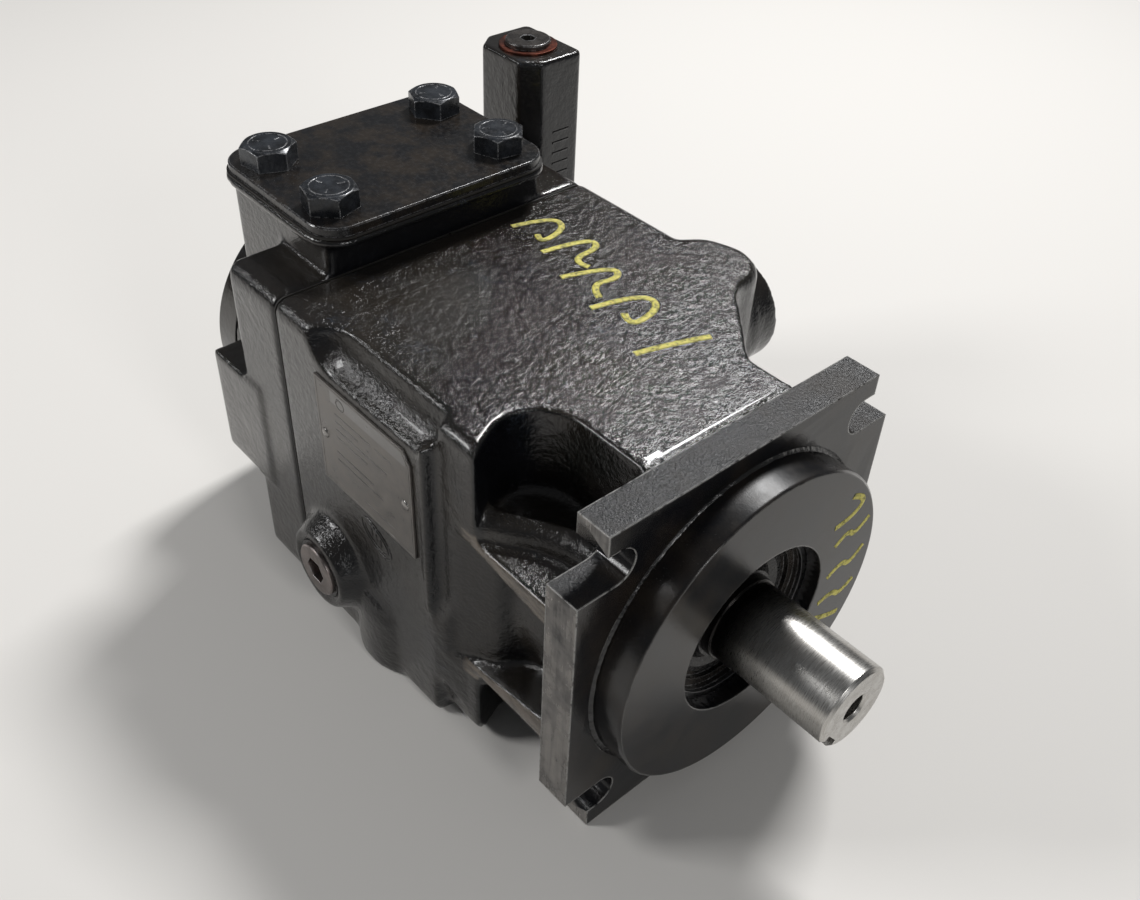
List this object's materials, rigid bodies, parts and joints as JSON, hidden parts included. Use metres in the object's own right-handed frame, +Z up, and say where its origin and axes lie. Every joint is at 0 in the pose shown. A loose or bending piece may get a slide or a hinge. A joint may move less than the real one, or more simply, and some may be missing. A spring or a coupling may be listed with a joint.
{
  "type": "axial piston pump",
  "caption": "Variable-displacement axial piston pump with a flanged housing, keyed shaft, covered suction port, side compensator and a tilting swashplate.",
  "frame": {"origin": "where the drive shaft's axis meets the seating face of the mounting flange", "axes": "+X out along the drive shaft, +Z up through the suction port, -Y out of the nameplate side"},
  "size_m": [0.3098, 0.1888, 0.1859],
  "materials": {
    "black_paint": "semi-gloss black paint on rough cast iron, oily",
    "cover_steel": "thin black paint on steel plate, scuffed",
    "blackened_steel": "black oxide, painted over and worn at the edges",
    "plug_steel": "oily zinc-phosphated steel, reddish grey",
    "shaft_steel": "fine-turned and ground steel",
    "bearing_steel": "polished bearing steel",
    "spring_steel": "dark oil-tempered spring steel",
    "bronze": "machined bronze",
    "copper": "tarnished copper",
    "nameplate": "grey anodised plate with a lighter band",
    "rivet": "bright drive rivet",
    "seal_rubber": "oily black rubber",
    "gasket": "dark compressed fibre"
  },
  "bodies": {
    "pump_body": {"main_housing": "black_paint", "housing_gasket": "gasket", "port_block": "black_paint", "port_block_screws": "blackened_steel", "rear_cover": "black_paint", "rear_cover_screws": "blackened_steel", "port_cover_gasket": "gasket", "port_cover_plate": "cover_steel", "port_cover_bolts": "blackened_steel", "drain_plug": "plug_steel", "drain_plug_washer": "seal_rubber", "nameplate": "nameplate", "nameplate_rivets": "rivet", "front_bearing_outer_race": "bearing_steel", "rear_bearing_cup": "bearing_steel", "seal_carrier": "blackened_steel", "shaft_seal": "seal_rubber", "snap_ring": "spring_steel", "cradle_bearings": "bronze", "valve_plate": "bronze", "servo_sleeves": "shaft_steel", "compensator_body": "black_paint", "compensator_screws": "blackened_steel", "compensator_plug": "plug_steel", "compensator_washer": "copper", "adjusting_screw": "plug_steel"},
    "rotating_group": {"drive_shaft": "shaft_steel", "front_bearing_inner_race": "bearing_steel", "cylinder_barrel": "shaft_steel", "barrel_springs": "spring_steel", "retainer_guide": "bearing_steel"},
    "front_rollers": {"front_bearing_rollers": "bearing_steel"},
    "rear_needles": {"rear_bearing_needles": "bearing_steel"},
    "swashplate": {"swashplate": "shaft_steel"},
    "slipper_retainer": {"slipper_retainer": "shaft_steel"},
    "control_piston": {"control_piston": "shaft_steel"},
    "bias_piston": {"bias_piston": "shaft_steel", "bias_spring": "spring_steel"},
    "compensator_spool": {"compensator_spool": "bearing_steel", "compensator_spring": "spring_steel"},
    "slipper_1": {"slipper_1": "bronze"},
    "piston_1": {"piston_1": "bearing_steel"},
    "slipper_2": {"slipper_2": "bronze"},
    "piston_2": {"piston_2": "bearing_steel"},
    "slipper_3": {"slipper_3": "bronze"},
    "piston_3": {"piston_3": "bearing_steel"},
    "slipper_4": {"slipper_4": "bronze"},
    "piston_4": {"piston_4": "bearing_steel"},
    "slipper_5": {"slipper_5": "bronze"},
    "piston_5": {"piston_5": "bearing_steel"},
    "slipper_6": {"slipper_6": "bronze"},
    "piston_6": {"piston_6": "bearing_steel"},
    "slipper_7": {"slipper_7": "bronze"},
    "piston_7": {"piston_7": "bearing_steel"},
    "slipper_8": {"slipper_8": "bronze"},
    "piston_8": {"piston_8": "bearing_steel"},
    "slipper_9": {"slipper_9": "bronze"},
    "piston_9": {"piston_9": "bearing_steel"}
  },
  "joints": [
    {"name": "shaft_spin", "type": "hinge", "parent": "pump_body", "child": "rotating_group", "pos_m": [0, 0, 0], "axis": [1, 0, 0], "continuous": true},
    {"name": "swash_tilt", "type": "hinge", "parent": "pump_body", "child": "swashplate", "pos_m": [-0.088, 0, 0], "axis": [0, 0, 1], "range_deg": [0, 16]},
    {"name": "front_rollers_orbit", "type": "hinge", "parent": "pump_body", "child": "front_rollers", "pos_m": [-0.019, 0, 0], "axis": [1, 0, 0], "continuous": true},
    {"name": "rear_needles_orbit", "type": "hinge", "parent": "pump_body", "child": "rear_needles", "pos_m": [-0.179, 0, 0], "axis": [1, 0, 0], "continuous": true},
    {"name": "retainer_spin", "type": "hinge", "parent": "swashplate", "child": "slipper_retainer", "pos_m": [-0.088, 0, 0], "axis": [1, 0, 0], "continuous": true},
    {"name": "control_slide", "type": "slide", "parent": "pump_body", "child": "control_piston", "axis": [1, 0, 0], "range_m": [-0.0168, 0]},
    {"name": "bias_slide", "type": "slide", "parent": "pump_body", "child": "bias_piston", "axis": [1, 0, 0], "range_m": [0, 0.0164], "deforming": ["bias_spring"]},
    {"name": "spool_slide", "type": "slide", "parent": "pump_body", "child": "compensator_spool", "axis": [0, 0, 1], "range_m": [0, 0.002], "stiffness_N_per_m": 20000, "deforming": ["compensator_spring"]},
    {"name": "slipper_1_swivel", "type": "hinge", "parent": "slipper_retainer", "child": "slipper_1", "pos_m": [-0.088, 0.03466, 0], "axis": [1, 0, 0], "continuous": true},
    {"name": "piston_1_ball", "type": "hinge", "parent": "slipper_1", "child": "piston_1", "pos_m": [-0.088, 0.03466, 0], "axis": [0, 0, 1], "range_deg": [-16, 0]},
    {"name": "slipper_2_swivel", "type": "hinge", "parent": "slipper_retainer", "child": "slipper_2", "pos_m": [-0.088, 0.02655, 0.02228], "axis": [1, 0, 0], "continuous": true},
    {"name": "piston_2_ball", "type": "hinge", "parent": "slipper_2", "child": "piston_2", "pos_m": [-0.088, 0.02655, 0.02228], "axis": [0, 0, 1], "range_deg": [-16, 0]},
    {"name": "slipper_3_swivel", "type": "hinge", "parent": "slipper_retainer", "child": "slipper_3", "pos_m": [-0.088, 0.00602, 0.03413], "axis": [1, 0, 0], "continuous": true},
    {"name": "piston_3_ball", "type": "hinge", "parent": "slipper_3", "child": "piston_3", "pos_m": [-0.088, 0.00602, 0.03413], "axis": [0, 0, 1], "range_deg": [-16, 0]},
    {"name": "slipper_4_swivel", "type": "hinge", "parent": "slipper_retainer", "child": "slipper_4", "pos_m": [-0.088, -0.01733, 0.03002], "axis": [1, 0, 0], "continuous": true},
    {"name": "piston_4_ball", "type": "hinge", "parent": "slipper_4", "child": "piston_4", "pos_m": [-0.088, -0.01733, 0.03002], "axis": [0, 0, 1], "range_deg": [-16, 0]},
    {"name": "slipper_5_swivel", "type": "hinge", "parent": "slipper_retainer", "child": "slipper_5", "pos_m": [-0.088, -0.03257, 0.01185], "axis": [1, 0, 0], "continuous": true},
    {"name": "piston_5_ball", "type": "hinge", "parent": "slipper_5", "child": "piston_5", "pos_m": [-0.088, -0.03257, 0.01185], "axis": [0, 0, 1], "range_deg": [-16, 0]},
    {"name": "slipper_6_swivel", "type": "hinge", "parent": "slipper_retainer", "child": "slipper_6", "pos_m": [-0.088, -0.03257, -0.01185], "axis": [1, 0, 0], "continuous": true},
    {"name": "piston_6_ball", "type": "hinge", "parent": "slipper_6", "child": "piston_6", "pos_m": [-0.088, -0.03257, -0.01185], "axis": [0, 0, 1], "range_deg": [-16, 0]},
    {"name": "slipper_7_swivel", "type": "hinge", "parent": "slipper_retainer", "child": "slipper_7", "pos_m": [-0.088, -0.01733, -0.03002], "axis": [1, 0, 0], "continuous": true},
    {"name": "piston_7_ball", "type": "hinge", "parent": "slipper_7", "child": "piston_7", "pos_m": [-0.088, -0.01733, -0.03002], "axis": [0, 0, 1], "range_deg": [-16, 0]},
    {"name": "slipper_8_swivel", "type": "hinge", "parent": "slipper_retainer", "child": "slipper_8", "pos_m": [-0.088, 0.00602, -0.03413], "axis": [1, 0, 0], "continuous": true},
    {"name": "piston_8_ball", "type": "hinge", "parent": "slipper_8", "child": "piston_8", "pos_m": [-0.088, 0.00602, -0.03413], "axis": [0, 0, 1], "range_deg": [-16, 0]},
    {"name": "slipper_9_swivel", "type": "hinge", "parent": "slipper_retainer", "child": "slipper_9", "pos_m": [-0.088, 0.02655, -0.02228], "axis": [1, 0, 0], "continuous": true},
    {"name": "piston_9_ball", "type": "hinge", "parent": "slipper_9", "child": "piston_9", "pos_m": [-0.088, 0.02655, -0.02228], "axis": [0, 0, 1], "range_deg": [-16, 0]}
  ],
  "couplings": [
    {"joint": "front_rollers_orbit", "follows": "shaft_spin", "ratio": 0.43564},
    {"joint": "rear_needles_orbit", "follows": "shaft_spin", "ratio": 0.44484},
    {"joint": "retainer_spin", "follows": "shaft_spin", "ratio": 1},
    {"joint": "control_slide", "follows": "swash_tilt", "m_per_rad": -0.05976},
    {"joint": "bias_slide", "follows": "swash_tilt", "m_per_rad": 0.05833},
    {"joint": "slipper_1_swivel", "follows": "shaft_spin", "ratio": -1},
    {"joint": "piston_1_ball", "follows": "swash_tilt", "ratio": -1},
    {"joint": "slipper_2_swivel", "follows": "shaft_spin", "ratio": -1},
    {"joint": "piston_2_ball", "follows": "swash_tilt", "ratio": -1},
    {"joint": "slipper_3_swivel", "follows": "shaft_spin", "ratio": -1},
    {"joint": "piston_3_ball", "follows": "swash_tilt", "ratio": -1},
    {"joint": "slipper_4_swivel", "follows": "shaft_spin", "ratio": -1},
    {"joint": "piston_4_ball", "follows": "swash_tilt", "ratio": -1},
    {"joint": "slipper_5_swivel", "follows": "shaft_spin", "ratio": -1},
    {"joint": "piston_5_ball", "follows": "swash_tilt", "ratio": -1},
    {"joint": "slipper_6_swivel", "follows": "shaft_spin", "ratio": -1},
    {"joint": "piston_6_ball", "follows": "swash_tilt", "ratio": -1},
    {"joint": "slipper_7_swivel", "follows": "shaft_spin", "ratio": -1},
    {"joint": "piston_7_ball", "follows": "swash_tilt", "ratio": -1},
    {"joint": "slipper_8_swivel", "follows": "shaft_spin", "ratio": -1},
    {"joint": "piston_8_ball", "follows": "swash_tilt", "ratio": -1},
    {"joint": "slipper_9_swivel", "follows": "shaft_spin", "ratio": -1},
    {"joint": "piston_9_ball", "follows": "swash_tilt", "ratio": -1}
  ]
}
